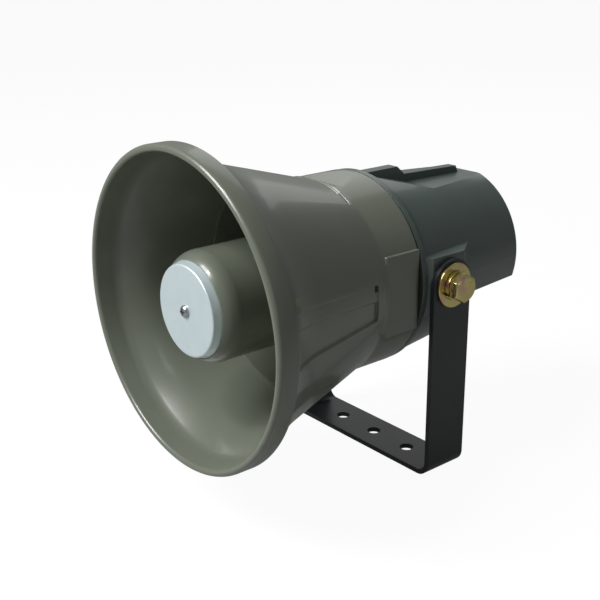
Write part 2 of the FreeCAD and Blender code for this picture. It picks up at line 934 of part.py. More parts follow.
def transformer_coil():
    """The wound bobbin round the core's middle leg."""
    outer = core_width / 2 - core_leg - coil_clearance
    low = shelf_floor + core_leg + coil_clearance
    high = shelf_floor + core_height - core_leg - coil_clearance
    rear = core_depth + core_stack
    wound = block(-outer, outer, core_depth - coil_overhang, rear + coil_overhang, low, high)
    leg = core_leg + coil_clearance / 2
    bore = block(-leg, leg, core_depth - coil_clearance / 2, rear + coil_clearance / 2, low, high)
    upright = [edge for edge in wound.Edges if abs(edge.tangentAt(0).z) > 0.9]
    return wound.makeFillet(bobbin_round, upright).cut(bore)


def block_middles():
    """The depths of the terminal block's ways."""
    pitch = block_length / block_wells
    return [block_depth + pitch * (k + 0.5) for k in range(block_wells)]


def terminal_block():
    """The block for the line's wires: a screw well over a wire hole for each way."""
    x = block_offset - block_width / 2
    top = shelf_floor + block_height
    body = block(x, x + block_width, block_depth, block_depth + block_length, shelf_floor, top)
    half = wire_hole_half_width
    cuts = []
    for middle in block_middles():
        base = Vector(block_offset, middle - pivot_depth, top - well_depth)
        cuts.append(Part.makeCylinder(well_radius, well_depth + past, base))
        low, high = shelf_floor + wire_hole_floor, shelf_floor + wire_hole_top
        cuts.append(block(x - past, x + block_width + past, middle - half, middle + half, low, high))
    return tidy(body.cut(cuts))


def terminal_screws():
    screws = []
    base = shelf_floor + block_height - well_depth
    top = base + well_screw_height
    half = well_slot_half_width
    for middle in block_middles():
        place = Vector(block_offset, middle - pivot_depth, base)
        head = Part.makeCylinder(well_radius - seat_gap, well_screw_height, place)
        low, high = top - well_slot_sink, top + past
        x0, x1 = block_offset - well_radius, block_offset + well_radius
        screws.append(head.cut(block(x0, x1, middle - half, middle + half, low, high)))
    return Part.makeCompound(screws)


def cable_gland():
    """The gland's body, through the step under the shelf. No cable is in it."""
    inner_end = shelf_start - cover_wall - locknut_thickness
    collar_rear = shelf_start + gland_collar
    neck_end = collar_rear + gland_cap_length - gland_cap_wall
    base = Vector(0, shelf_start - pivot_depth, gland_height)
    hexed = hexagon(gland_flats, gland_collar, base, Vector(0, 1, 0))
    thread = rod(inner_end, shelf_start, gland_thread_radius, 0, gland_height)
    neck = rod(collar_rear, neck_end, gland_thread_radius - gland_neck_step, 0, gland_height)
    bore = rod(inner_end - past, neck_end + past, gland_bore_radius, 0, gland_height)
    return tidy(hexed.fuse([thread, neck]).cut(bore))


def gland_cap():
    """The domed nut that would squeeze the seal."""
    start = shelf_start + gland_collar
    outer = gland_flats / 2
    end = start + gland_cap_length
    shoulder = (end - gland_cap_dome, outer)
    mouth = (end, gland_bore_radius + gland_cap_face)
    dome = (between(shoulder, mouth, -gland_cap_swell), mouth)
    shell = turned((start, 0), (start, outer), shoulder, dome, (end, 0))
    room_radius = gland_thread_radius - gland_neck_step + seat_gap
    room = rod(start - past, end - gland_cap_wall + seat_gap, room_radius)
    bore = rod(start, end + past, gland_bore_radius)
    shell = shell.cut([room, bore])
    shell.translate(Vector(0, 0, gland_height))
    return shell


def gland_locknut():
    front = shelf_start - cover_wall - locknut_thickness
    base = Vector(0, front - pivot_depth, gland_height)
    nut = hexagon(locknut_flats, locknut_thickness, base, Vector(0, 1, 0))
    return nut.cut(rod(front, front + locknut_thickness, gland_thread_radius + screw_gap, 0, gland_height))


# Pivot hardware on the +X side, at the horn's axis
def pivot_bolt():
    """A hexagon-head bolt with its head outside both washers."""
    seat = arm_outer + plain_washer_thickness + spring_washer_thickness
    head = hexagon(head_flats, head_height, Vector(seat, 0, 0), Vector(1, 0, 0))
    corner = head_flats / math.sqrt(3)
    face = head_flats / 2
    cone_height = head_height + corner - face + head_chamfer
    start = seat + head_height - cone_height
    trim = Part.makeCone(face + cone_height, face, cone_height, Vector(start, 0, 0), Vector(1, 0, 0))
    shank = cross_rod(seat - bolt_length, seat, bolt_radius)
    return tidy(head.common(trim).fuse(shank))


def washer(start, thickness, radius):
    hole = bolt_radius + seat_gap
    return cross_rod(start, start + thickness, radius).cut(cross_rod(start, start + thickness, hole))


def plain_washer():
    return washer(arm_outer, plain_washer_thickness, plain_washer_radius)


def spring_washer():
    """The split ring under the bolt's head."""
    start = arm_outer + plain_washer_thickness
    end = start + spring_washer_thickness
    ring = washer(start, spring_washer_thickness, spring_washer_radius)
    slit = block(start - past, end + past, pivot_depth, pivot_depth + reach, 0, spring_washer_slit)
    slit.rotate(Vector(0, 0, 0), Vector(1, 0, 0), spring_washer_turn)
    return ring.cut(slit)


def captive_nut():
    start = nut_seat - nut_height
    nut = hexagon(head_flats, nut_height, Vector(start, 0, 0), Vector(1, 0, 0))
    return nut.cut(cross_rod(start, nut_seat, bolt_radius + screw_gap))


# Bracket
def arm_side(height):
    """The strip from the side: straight edges and a round end to each arm."""
    half = strip_width / 2
    column = Part.makeBox(reach * 2, strip_width, height, Vector(-reach, -half, 0))
    end = Part.makeCylinder(half, reach * 2, Vector(-reach, 0, height), Vector(1, 0, 0))
    return column.fuse(end)


def u_outline(inset):
    """The bent strip from the front: a U with round corners, drawn in by inset and filled."""
    half = arm_outer - inset
    top = pivot_height + strip_width
    r = bend_radius - inset
    turn = r * (1 - math.sqrt(0.5))
    y = -strip_width / 2

    def p(x, z):
        return Vector(x, y, z + inset)

    edges = [
        Part.makeLine(p(-half, top), p(-half, r)),
        Part.Arc(p(-half, r), p(-half + turn, turn), p(-half + r, 0)).toShape(),
        Part.makeLine(p(-half + r, 0), p(half - r, 0)),
        Part.Arc(p(half - r, 0), p(half - turn, turn), p(half, r)).toShape(),
        Part.makeLine(p(half, r), p(half, top)),
        Part.makeLine(p(half, top), p(-half, top)),
    ]
    return Part.Face(Part.Wire(edges)).extrude(Vector(0, strip_width, 0))


def bracket():
    """The bent strip, with three holes in its base and one in each arm."""
    strip = u_outline(0).cut(u_outline(strip_thickness)).common(arm_side(pivot_height))
    holes = []
    for k in (-1, 0, 1):
        start = Vector(k * base_hole_pitch, 0, -past)
        holes.append(Part.makeCylinder(base_hole_radius, strip_thickness + 2 * past, start))
    start = Vector(-arm_outer - past, 0, pivot_height)
    through = 2 * (arm_outer + past)
    holes.append(Part.makeCylinder(bolt_radius + running_gap, through, start, Vector(1, 0, 0)))
    return tidy(strip.cut(holes))


HORN_PIECES = {
    "bell": bell,
    "throat_bowl": throat_bowl,
    "tone_tube": tone_tube,
    "reflector_cap": reflector_cap,
    "front_disc": front_disc,
    "disc_screw": disc_screw,
    "cover_gasket": cover_gasket,
    "rear_cover": rear_cover,
    "cover_screws": cover_screws,
    "driver_throat": driver_throat,
    "driver_screws": driver_screws,
    "phase_plug": phase_plug,
    "diaphragm": diaphragm,
    "voice_coil": voice_coil,
    "surround": surround,
    "clamp_ring": clamp_ring,
    "top_plate": top_plate,
    "magnet": magnet,
    "pole_plate": pole_plate,
    "transformer_core": transformer_core,
    "transformer_coil": transformer_coil,
    "terminal_block": terminal_block,
    "terminal_screws": terminal_screws,
    "cable_gland": cable_gland,
    "gland_cap": gland_cap,
    "gland_locknut": gland_locknut,
    "pivot_bolts": lambda: pair(pivot_bolt()),
    "plain_washers": lambda: pair(plain_washer()),
    "spring_washers": lambda: pair(spring_washer()),
    "captive_nuts": lambda: pair(captive_nut()),
}


def main():
    os.makedirs("parts", exist_ok=True)
    for name, build in HORN_PIECES.items():
        shape = build()
        shape.translate(Vector(0, 0, pivot_height))
        shape.exportStep("parts/%s.step" % name)
    bracket().exportStep("parts/bracket.step")


main()
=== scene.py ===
"""The horn loudspeaker as it is sold: a grey moulded bell, a dark rear cover, a silver disc on
the reflector and a black steel bracket with yellow zinc bolts.

The scene is in metres, and the sizes below are in millimetres. The horn's axis lies along Y,
100 mm above the bracket's underside, with the mouth towards -Y. Depths are counted from the
mouth's plane, as a maker's drawing does.
"""

import math

import bmesh
import bpy
from mathutils import Matrix, Vector


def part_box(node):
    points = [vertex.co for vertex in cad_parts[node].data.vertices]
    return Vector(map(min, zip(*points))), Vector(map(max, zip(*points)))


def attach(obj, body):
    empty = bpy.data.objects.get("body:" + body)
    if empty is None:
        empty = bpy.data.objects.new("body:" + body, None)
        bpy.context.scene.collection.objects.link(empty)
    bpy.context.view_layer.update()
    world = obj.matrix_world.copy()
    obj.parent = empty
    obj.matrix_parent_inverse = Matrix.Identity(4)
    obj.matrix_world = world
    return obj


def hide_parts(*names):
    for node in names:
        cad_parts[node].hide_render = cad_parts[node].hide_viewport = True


MM = 0.001
AXIS_HEIGHT = 100.0
PIVOT_DEPTH = 123.0

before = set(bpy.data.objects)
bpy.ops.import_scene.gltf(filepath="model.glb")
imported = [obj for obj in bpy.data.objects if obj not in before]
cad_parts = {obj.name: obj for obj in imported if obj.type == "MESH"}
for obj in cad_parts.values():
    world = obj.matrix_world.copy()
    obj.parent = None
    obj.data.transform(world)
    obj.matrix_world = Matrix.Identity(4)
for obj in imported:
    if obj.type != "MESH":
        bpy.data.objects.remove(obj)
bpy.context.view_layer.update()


# Colour and material helpers
# The sockets of a Mix node that take and give colours
MIX_FIRST, MIX_SECOND, MIX_RESULT = 6, 7, 2

# Spark grain is about 0.1 mm between crests, drawn at 0.9 mm so that it shows
SPARK_GRAIN_MM = 0.9
SPARK_DEPTH_MM = 0.02
DYE_PATCH_MM = 28.0

SCRATCH_DEPTH_MM = 0.01
METAL_EDGE_MM = 0.2

# A spinning tool leaves rings about 0.3 mm apart, drawn at 0.8 mm so that they show
SPIN_RING_MM = 0.8
# Orange peel is about 1 mm between crests
ORANGE_PEEL_MM = 1.2
# Where the zinc's film turns from rose to straw to green, and its colour there
ZINC_FILM = ((0.32, "#bf9b9a"), (0.44, "#c8b083"), (0.56, "#c9bf80"), (0.68, "#a0a964"))


def ink(code):
    """The linear colour of an sRGB hex code."""
    out = []
    for k in (1, 3, 5):
        v = int(code[k : k + 2], 16) / 255
        out.append(v / 12.92 if v <= 0.04045 else ((v + 0.055) / 1.055) ** 2.4)
    return (*out, 1.0)


def feed(tree, node, inputs):
    """Fills a node's inputs. A value is a number, a colour or another node's socket."""
    for name, value in inputs.items():
        if isinstance(value, bpy.types.NodeSocket):
            tree.links.new(value, node.inputs[name])
        else:
            node.inputs[name].default_value = value


def add(tree, kind, inputs=None, **settings):
    """Adds a node with its settings and inputs."""
    node = tree.nodes.new(kind)
    for name, value in settings.items():
        setattr(node, name, value)
    feed(tree, node, inputs or {})
    return node


def new_material(name):
    material = bpy.data.materials.new(name)
    material.use_nodes = True
    tree = material.node_tree
    tree.nodes.clear()
    shader = add(tree, "ShaderNodeBsdfPrincipled")
    add(tree, "ShaderNodeOutputMaterial", {"Surface": shader.outputs[0]})
    return material, tree, shader


def per_metre(size_mm):
    """A texture's scale for features of this size, where the object's space is in metres."""
    return 1000.0 / size_mm


def clouded(tree, place, patch_mm, detail, body, shade):
    """Soft patches between two shades: the share of the second shade, and the colour."""
    patches = add(
        tree,
        "ShaderNodeTexNoise",
        {"Vector": place, "Scale": per_metre(patch_mm), "Detail": detail},
    )
    share = patches.outputs["Fac"]
    mix = add(
        tree,
        "ShaderNodeMix",
        {"Factor": share, MIX_FIRST: ink(body), MIX_SECOND: ink(shade)},
        data_type="RGBA",
    )
    return share, mix.outputs[MIX_RESULT]


def soft_surface(tree, height, strength, depth_mm, edge_mm):
    """A fine relief, over edges rounded as a coat or a tumbling barrel leaves them.

    Where edge_mm is 0, the edges stay as the mesh has them.
    """
    relief = add(
        tree,
        "ShaderNodeBump",
        {"Height": height, "Strength": strength, "Distance": depth_mm * MM},
    )
    if edge_mm:
        rounded = add(tree, "ShaderNodeBevel", {"Radius": edge_mm * MM}, samples=8)
        feed(tree, relief, {"Normal": rounded.outputs[0]})
    return relief.outputs[0]


def moulded_plastic(name, body, shade, roughness, edge_mm=0.0, skin=0.0):
    """Plastic, rubber or ferrite from a steel mould: one colour, slightly cloudy, finely grained.

    Where the mould is polished, the plastic has a glossy skin over its satin body.
    """
    material, tree, shader = new_material(name)
    place = add(tree, "ShaderNodeTexCoord").outputs["Object"]
    share, colour = clouded(tree, place, DYE_PATCH_MM, 3.0, body, shade)
    grain = add(
        tree,
        "ShaderNodeTexNoise",
        {"Vector": place, "Scale": per_metre(SPARK_GRAIN_MM), "Detail": 2.0},
    )
    gloss = add(
        tree,
        "ShaderNodeMapRange",
        {"Value": share, "To Min": roughness - 0.02, "To Max": roughness + 0.03},
    )
    look = {
        "Base Color": colour,
        "Roughness": gloss.outputs[0],
        "Normal": soft_surface(tree, grain.outputs["Fac"], 0.35, SPARK_DEPTH_MM, edge_mm),
        "IOR": 1.53,
        "Coat Weight": skin,
        "Coat Roughness": 0.13,
    }
    feed(tree, shader, look)
    return material


def finished_metal(name, body, shade, roughness, streak_mm, stretch=(1.0, 1.0, 1.0)):
    """A bare or plated metal, clouded evenly or, with a stretch, in streaks."""
    material, tree, shader = new_material(name)
    place = add(tree, "ShaderNodeTexCoord").outputs["Object"]
    drawn = add(tree, "ShaderNodeMapping", {"Vector": place, "Scale": stretch}).outputs[0]
    share, colour = clouded(tree, drawn, streak_mm, 4.0, body, shade)
    gloss = add(
        tree,
        "ShaderNodeMapRange",
        {"Value": share, "To Min": roughness - 0.06, "To Max": roughness + 0.08},
    )
    look = {
        "Base Color": colour,
        "Roughness": gloss.outputs[0],
        "Normal": soft_surface(tree, share, 0.3, SCRATCH_DEPTH_MM, METAL_EDGE_MM),
        "Metallic": 1.0,
    }
    feed(tree, shader, look)
    return material


def spun_aluminium(name, body, shade):
    """Aluminium sheet spun to a dish and clear lacquered: pale satin, with rings about the axis."""
    material, tree, shader = new_material(name)
    place = add(tree, "ShaderNodeTexCoord").outputs["Object"]
    centred = add(
        tree,
        "ShaderNodeVectorMath",
        {0: place, 1: (0.0, 0.0, -AXIS_HEIGHT * MM)},
        operation="ADD",
    )
    flat = add(
        tree,
        "ShaderNodeVectorMath",
        {0: centred.outputs[0], 1: (1.0, 0.0, 1.0)},
        operation="MULTIPLY",
    )
    from_axis = add(tree, "ShaderNodeVectorMath", {0: flat.outputs[0]}, operation="LENGTH")
    rings = add(
        tree,
        "ShaderNodeTexNoise",
        {"W": from_axis.outputs["Value"], "Scale": per_metre(SPIN_RING_MM)},
        noise_dimensions="1D",
    )
    _, colour = clouded(tree, place, 7.0, 4.0, body, shade)
    look = {
        "Base Color": colour,
        "Normal": soft_surface(tree, rings.outputs["Fac"], 0.3, 0.02, 0.3),
        "Metallic": 0.5,
        "Roughness": 0.42,
    }
    feed(tree, shader, look)
    return material


def powder_coat(name, body, shade):
    """Black powder coat: a semi-gloss skin with a soft orange peel."""
    material, tree, shader = new_material(name)
    place = add(tree, "ShaderNodeTexCoord").outputs["Object"]
    _, colour = clouded(tree, place, 35.0, 3.0, body, shade)
    peel = add(
        tree,
        "ShaderNodeTexNoise",
        {"Vector": place, "Scale": per_metre(ORANGE_PEEL_MM), "Detail": 2.0},
    )
    look = {
        "Base Color": colour,
        "Normal": soft_surface(tree, peel.outputs["Fac"], 0.4, 0.05, 0.4),
        "Roughness": 0.38,
        "IOR": 1.5,
    }
    feed(tree, shader, look)
    return material


def yellow_zinc(name):
    """Zinc with a yellow passivate, whose thin film runs from rose over straw to green."""
    material, tree, shader = new_material(name)
    place = add(tree, "ShaderNodeTexCoord").outputs["Object"]
    film = add(
        tree, "ShaderNodeTexNoise", {"Vector": place, "Scale": per_metre(6.0), "Detail": 3.0}
    )
    ramp = add(tree, "ShaderNodeValToRGB", {"Fac": film.outputs["Fac"]})
    stops = ramp.color_ramp.elements
    for stop, (position, code) in zip((stops[0], stops[1]), (ZINC_FILM[0], ZINC_FILM[-1])):
        stop.position = position
        stop.color = ink(code)
    for position, code in ZINC_FILM[1:-1]:
        stops.new(position).color = ink(code)
    # Plating crystals are far finer than 0.1 mm, drawn at 0.8 mm so that they show
    crystals = add(
        tree, "ShaderNodeTexNoise", {"Vector": place, "Scale": per_metre(0.8), "Detail": 2.0}
    )
    look = {
        "Base Color": ramp.outputs[0],
        "Normal": soft_surface(tree, crystals.outputs["Fac"], 0.25, 0.02, 0.15),
        "Metallic": 1.0,
        "Roughness": 0.24,
    }
    feed(tree, shader, look)
    return material


def background_share(tree, mirrored):
    """1 for what is seen straight on or through glass, and less for what a surface mirrors."""
    path = add(tree, "ShaderNodeLightPath")
    glint = add(
        tree,
        "ShaderNodeMath",
        {0: path.outputs["Is Glossy Ray"], 1: mirrored},
        operation="MULTIPLY",
    )
    clear = add(
        tree,
        "ShaderNodeMath",
        {0: path.outputs["Is Camera Ray"], 1: path.outputs["Is Transmission Ray"]},
        operation="MAXIMUM",
    )
    both = add(
        tree,
        "ShaderNodeMath",
        {0: glint.outputs[0], 1: clear.outputs[0]},
        operation="MAXIMUM",
    )
    return both.outputs[0]


GREY_ABS = moulded_plastic("grey_green_moulded_abs", "#6f7568", "#666c5f", 0.33, skin=0.45)
BOWL_ABS = moulded_plastic("grey_green_inner_abs", "#63675b", "#585c50", 0.45)
DARK_ABS = moulded_plastic(
    "dark_green_grey_moulded_abs", "#4b5a55", "#43504b", 0.33, edge_mm=0.5, skin=0.35
)
BLACK_NYLON = moulded_plastic("black_nylon", "#1c1d1f", "#17181a", 0.5)
CREAM_PHENOLIC = moulded_plastic("cream_phenolic", "#d2c9b4", "#c4baa2", 0.45)
GASKET_RUBBER = moulded_plastic("black_gasket_rubber", "#1a1a1b", "#131314", 0.75)
DOME_FILM = moulded_plastic("amber_dome_film", "#a9763a", "#96662f", 0.3)
FERRITE = moulded_plastic("sintered_ferrite", "#37373a", "#2c2c2f", 0.6)
DISC_ALUMINIUM = spun_aluminium("satin_lacquered_aluminium", "#e0edf0", "#d3e3e8")
BLACK_COAT = powder_coat("black_powder_coat", "#22282a", "#1c2124")
YELLOW_ZINC = yellow_zinc("yellow_passivated_zinc")
BRIGHT_ZINC = finished_metal("bright_zinc_plate", "#b9bcc0", "#a4a8ac", 0.3, 3.0)
PLATE_STEEL = finished_metal("zinc_plated_pole_steel", "#a3a6a8", "#8e9193", 0.35, 5.0)
TERMINAL_BRASS = finished_metal("terminal_brass", "#c9a45a", "#b08c46", 0.3, 3.0)
# Sheets of 0.5 mm and wire of 0.2 mm, drawn at 1 mm so that their edges show
CORE_STEEL = finished_metal(
    "laminated_core_steel", "#6c6f74", "#54575b", 0.5, 1.0, (1.0, 8.0, 1.0)
)
COPPER_WIRE = finished_metal(
    "enamelled_copper_wire", "#b06a3c", "#8d4f28", 0.4, 1.0, (1.0, 1.0, 8.0)
)

FINISHES = {
    GREY_ABS: ("bell", "reflector_cap", "tone_tube"),
    BOWL_ABS: ("throat_bowl", "driver_throat"),
    DARK_ABS: ("rear_cover",),
    DISC_ALUMINIUM: ("front_disc",),
    BRIGHT_ZINC: ("disc_screw", "cover_screws", "driver_screws"),
    GASKET_RUBBER: ("cover_gasket",),
    BLACK_NYLON: ("phase_plug", "clamp_ring", "cable_gland", "gland_cap", "gland_locknut"),
    DOME_FILM: ("diaphragm", "surround"),
    COPPER_WIRE: ("voice_coil", "transformer_coil"),
    PLATE_STEEL: ("top_plate", "pole_plate"),
    FERRITE: ("magnet",),
    CORE_STEEL: ("transformer_core",),
    CREAM_PHENOLIC: ("terminal_block",),
    TERMINAL_BRASS: ("terminal_screws",),
    YELLOW_ZINC: ("pivot_bolts", "plain_washers", "spring_washers", "captive_nuts"),
    BLACK_COAT: ("bracket",),
}
for finish, names in FINISHES.items():
    for node_name in names:
        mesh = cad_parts[node_name].data
        mesh.materials.clear()
        mesh.materials.append(finish)


# Turned and hexagonal hardware, built along +X from the horn's axis and mirrored for the other side
ARM_OUTER = 52.3
BOLT_HOLE = 4.15

# Thickness and outer radius
PLAIN_WASHER = (1.6, 11.0)
PLAIN_WASHER_CURVE = 0.3
SPRING_WASHER = (2.0, 7.3)
SPRING_WASHER_CURVE = 0.15
SPRING_WASHER_INSET = 0.12
SPRING_HOLE_PLAY = 0.1
# Degrees: where the spring washer is cut, how wide and how far aslant
SPRING_CUT_AT = 205.0
SPRING_CUT_WIDTH = 15.0
SPRING_CUT_SLANT = 5.0
SPRING_SPREAD = 0.22

BOLT_RADIUS = 4.0
BOLT_LENGTH = 18.5
THREAD_PITCH = 1.25
THREAD_SINK = 0.62
# Below 1 it makes the thread's root broader than its crest
THREAD_FULLNESS = 0.8
THREAD_RUN_OUT = 0.4
HEAD_FLATS = 13.0
HEAD_HEIGHT = 5.3
HEAD_CORNER_ROUND = 0.5
HEAD_CROWN_INSET = 0.35
# A 30 degree chamfer's fall for each millimetre outwards
HEAD_CHAMFER = 0.577
HEAD_CHAMFER_START = 0.42
# Where the points stand along each side of the hexagon, as shares of its straight length
HEAD_SIDE_SHARES = (0.14, 0.28, 0.42, 0.58, 0.72, 0.86)

GLAND_FLUTES = 20


def piece_from(name, points, faces, finish, body):
    """One smooth-shaded piece, from points in millimetres about the pivot."""
    mesh = bpy.data.meshes.new(name)
    mesh.from_pydata([(x * MM, y * MM, (z + AXIS_HEIGHT) * MM) for x, y, z in points], [], faces)
    mesh.materials.append(finish)
    shape = bmesh.new()
    shape.from_mesh(mesh)
    bmesh.ops.recalc_face_normals(shape, faces=shape.faces)
    shape.to_mesh(mesh)
    shape.free()
    mesh.shade_smooth()
    mesh.set_sharp_from_angle(angle=math.radians(32))
    piece = bpy.data.objects.new(name, mesh)
    bpy.context.scene.collection.objects.link(piece)
    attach(piece, body)
    return piece


def grid_faces(rows, columns, closed_rows=False):
    """Quads between the rows of a grid whose columns close into rings."""
    faces = []
    for r in range(rows if closed_rows else rows - 1):
        here, there = r * columns, (r + 1) % rows * columns
        for c in range(columns):
            d = (c + 1) % columns
            faces.append((here + c, here + d, there + d, there + c))
    return faces


def row_face(row, columns):
    """The flat face that closes a grid at one of its rows."""
    return tuple(range(row * columns, (row + 1) * columns))


def shifted(faces, first):
    """The same faces, for points that come after others in one list."""
    return [tuple(v + first for v in face) for face in faces]


def ring_about_pivot(section, steps=96):
    """A section of places along X and radii, turned about the pivot axis."""
    points = []
    for x, radius in section:
        for k in range(steps):
            a = math.tau * k / steps
            points.append((x, radius * math.cos(a), radius * math.sin(a)))
    return points, grid_faces(len(section), steps, closed_rows=True)


def rounded_section(x0, x1, inner, outer, curve, steps=5):
    """A washer's section, with the rolled corners that a press leaves."""
    corners = (
        (x1 - curve, outer - curve, 0),
        (x0 + curve, outer - curve, 90),
        (x0 + curve, inner + curve, 180),
        (x1 - curve, inner + curve, 270),
    )
    section = []
    for x, radius, start in corners:
        for k in range(steps):
            a = math.radians(start + 90 * k / (steps - 1))
            section.append((x + curve * math.cos(a), radius + curve * math.sin(a)))
    return section


def plain_washer():
    thickness, radius = PLAIN_WASHER
    end = ARM_OUTER + thickness
    return ring_about_pivot(rounded_section(ARM_OUTER, end, BOLT_HOLE, radius, PLAIN_WASHER_CURVE))


def spring_washer():
    """The square-sectioned ring, cut through aslant, with its ends a little apart."""
    thickness, radius = SPRING_WASHER
    start = ARM_OUTER + PLAIN_WASHER[0]
    section = rounded_section(
        start + SPRING_WASHER_INSET,
        start + thickness - SPRING_WASHER_INSET,
        BOLT_HOLE + SPRING_HOLE_PLAY,
        radius,
        SPRING_WASHER_CURVE,
        steps=4,
    )
    steps = 90
    points = []
    for k in range(steps + 1):
        share = k / steps
        turn = SPRING_CUT_AT + SPRING_CUT_WIDTH / 2 + (360.0 - SPRING_CUT_WIDTH) * share
        lift = SPRING_SPREAD * (share - 0.5)
        for x, r in section:
            across = (x - start) / thickness - 0.5
            a = math.radians(turn + SPRING_CUT_SLANT * across)
            points.append((x + lift, r * math.cos(a), r * math.sin(a)))
    count = len(section)
    faces = grid_faces(steps + 1, count) + [row_face(0, count), row_face(steps, count)]
    return points, faces


def hexagon_outline(flats, curve):
    """A hexagon with rounded corners, as places across the bolt."""
    inner = flats / math.sqrt(3) - curve / math.cos(math.radians(30))

    def on_corner(corner, turn):
        return (
            inner * math.cos(corner) + curve * math.cos(turn),
            inner * math.sin(corner) + curve * math.sin(turn),
        )

    points = []
    for k in range(6):
        corner = math.radians(30 + 60 * k)
        for j in range(5):
            points.append(on_corner(corner, corner + math.radians(-30 + 15 * j)))
        after = math.radians(90 + 60 * k)
        ends = tuple(zip(points[-1], on_corner(after, after - math.radians(30))))
        for share in HEAD_SIDE_SHARES:
            points.append(tuple(first + (last - first) * share for first, last in ends))
    return points


def bolt_head():
    """A forged hexagon head with a chamfered crown and a dished top, and the place of its seat."""
    seat = ARM_OUTER + PLAIN_WASHER[0] + SPRING_WASHER[0]
    top = seat + HEAD_HEIGHT
    half = HEAD_FLATS / 2
    crown = half - HEAD_CROWN_INSET
    outline = hexagon_outline(HEAD_FLATS, HEAD_CORNER_ROUND)

    def past_flats(r):
        return max(0.0, r - half)

    def slope(r):
        return top - HEAD_CHAMFER_START - HEAD_CHAMFER * max(0.0, r - crown)

    # From the underside to the crown: washer face, flats, chamfer, rolled edge, shallow dish.
    # Each ring gives its radius and its place where the outline's own radius is r.
    rings = (
        (lambda r: BOLT_RADIUS - THREAD_SINK, lambda r: seat),
        (lambda r: crown, lambda r: seat),
        (lambda r: half - 0.3, lambda r: seat + 0.25),
        (lambda r: r - 0.12, lambda r: seat + 0.25 + 0.25 * past_flats(r)),
        (lambda r: r, lambda r: seat + 0.4 + 0.4 * past_flats(r)),
        (lambda r: r, lambda r: slope(r) - 0.15),
        (lambda r: r - 0.08, lambda r: slope(r) + 0.02),
        (lambda r: crown - 0.1, lambda r: top - 0.12),
        (lambda r: crown - 0.5, lambda r: top),
        (lambda r: crown - 1.2, lambda r: top - 0.05),
        (lambda r: crown * 0.45, lambda r: top - 0.28),
    )
    points = []
    for size, place in rings:
        for y, z in outline:
            r = math.hypot(y, z)
            k = size(r) / r
            points.append((place(r), y * k, z * k))
    count = len(outline)
    faces = grid_faces(len(rings), count) + [row_face(len(rings) - 1, count)]
    return points, faces, seat


def thread(seat):
    """A rolled thread with a rounded root, which runs out in a pointed end."""
    around, per_turn = 36, 8
    rows = int(BOLT_LENGTH / THREAD_PITCH * per_turn)
    points = []
    for i in range(rows + 1):
        back = BOLT_LENGTH * i / rows
        end_room = BOLT_LENGTH - back
        for k in range(around):
            a = math.tau * k / around
            phase = (back / THREAD_PITCH + k / around) % 1.0
            depth = THREAD_SINK * (0.5 - 0.5 * math.cos(math.tau * phase)) ** THREAD_FULLNESS
            radius = BOLT_RADIUS - depth
            if end_room < THREAD_SINK:
                radius = min(radius, BOLT_RADIUS - THREAD_SINK + end_room)
            if back < THREAD_RUN_OUT:
                radius = BOLT_RADIUS - THREAD_SINK
            points.append((seat - back, radius * math.cos(a), radius * math.sin(a)))
    faces = grid_faces(rows + 1, around) + [row_face(rows, around), row_face(0, around)]
    return points, faces


def other_side(points):
    return [(-x, y, z) for x, y, z in points]


def pivot_hardware():
    """Bolt, spring washer and plain washer on each side of the horn."""
    head, head_faces, seat = bolt_head()
    shank, shank_faces = thread(seat)
    bolt_faces = head_faces + shifted(shank_faces, len(head))
    kinds = (
        ("pivot_bolt", "pivot_bolts", head + shank, bolt_faces),
        ("spring_washer", "spring_washers", *spring_washer()),
        ("plain_washer", "plain_washers", *plain_washer()),
    )
    for kind, node, points, faces in kinds:
        for side, places in (("right", points), ("left", other_side(points))):
            piece = piece_from(f"{kind}_{side}", places, faces, YELLOW_ZINC, "horn")
            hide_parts(node)


def gland_dome():
    """The nylon gland's hollow cap, fluted for the fingers, with a rolled rim round its bore."""
    box_low, box_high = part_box("gland_cap")
    front, rear = box_low[1] / MM, box_high[1] / MM
    outer = (box_high[0] - box_low[0]) / 2 / MM
    height = (box_low[2] + box_high[2]) / 2 / MM - AXIS_HEIGHT
    length = rear - front
    # Places from the cap's open end, radii, and how deep the flutes are there
    section = (
        (0.0, outer - 1.5, 0.0),
        (0.0, outer - 0.35, 0.0),
        (0.35, outer, 0.0),
        (1.2, outer, 0.0),
        (1.7, outer, 0.4),
        (length - 4.2, outer, 0.4),
        (length - 3.5, outer - 0.05, 0.15),
        (length - 2.4, outer - 0.6, 0.0),
        (length - 1.2, outer - 1.7, 0.0),
        (length - 0.4, outer - 2.9, 0.0),
        (length, outer - 3.6, 0.0),
        (length - 0.1, outer - 4.3, 0.0),
        (length - 0.8, outer - 4.75, 0.0),
        (length - 2.0, outer - 4.75, 0.0),
        (length - 2.0, outer - 1.8, 0.0),
    )
    steps = 120
    points = []
    for place, radius, flute in section:
        for k in range(steps):
            a = math.tau * k / steps
            r = radius - flute * (0.5 - 0.5 * math.cos(GLAND_FLUTES * a)) ** 2
            points.append((r * math.cos(a), front + place, height + r * math.sin(a)))
    faces = grid_faces(len(section), steps, closed_rows=True)
    piece = piece_from("gland_dome", points, faces, BLACK_NYLON, "horn")
    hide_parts("gland_cap")


# The bell, as one closed skin over its depth and the angle about the axis. Pairs are a depth and
# a radius, unless a comment says otherwise.
MOUTH_RADIUS = 75.0
LIP_ROUND = 1.9
LIP_BACK = ((9.6, 75.0), (9.9, 74.92), (10.0, 74.65), (10.12, 74.42))
INNER_LIP_ROUND = 1.7
INNER_LIP_CENTRE = 73.1
INNER_LIP = ((8.6, 70.2), (5.2, 70.8))

